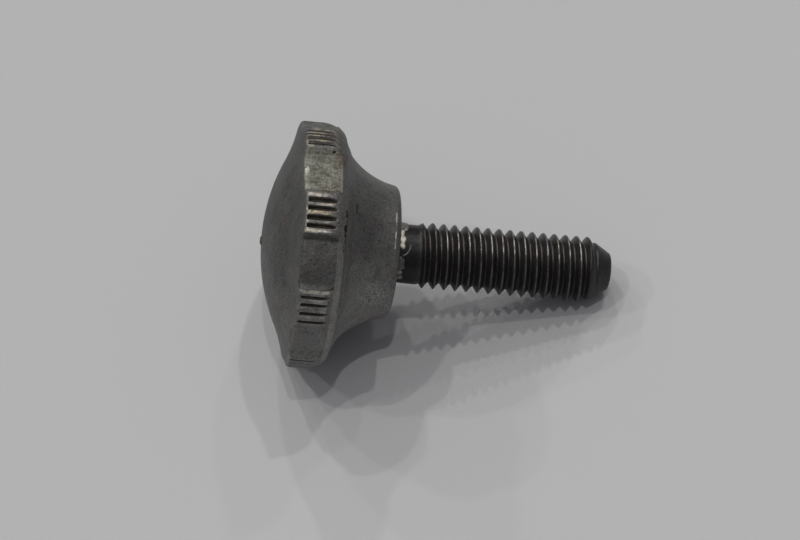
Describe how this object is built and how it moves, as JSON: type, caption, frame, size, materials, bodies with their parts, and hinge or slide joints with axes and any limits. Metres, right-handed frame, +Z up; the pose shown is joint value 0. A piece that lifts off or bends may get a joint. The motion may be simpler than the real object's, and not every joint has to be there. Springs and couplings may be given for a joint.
{
  "type": "cover screw",
  "caption": "Thumb screw for a side cover: a die-cast knob with serrated lobes and a flared boss, cast onto a black steel stud with a metric thread and a long lead chamfer.",
  "frame": {"origin": "on the surface that the screw rests on, under the middle of its outline in X and Y", "axes": "+X runs along the lying screw from the knob to the tip, which points 18 degrees downwards; +Z is up; the screw's axis lies in the XZ plane"},
  "size_m": [0.031, 0.0214, 0.0211],
  "materials": {
    "cast_alloy": "dull oxidised die casting with fine pits, burnished on the lobes' ridges",
    "black_steel": "black oxide, worn to bare steel along the thread's crests"
  },
  "bodies": {
    "root": {"knob": "cast_alloy", "threaded_stud": "black_steel"}
  },
  "joints": []
}
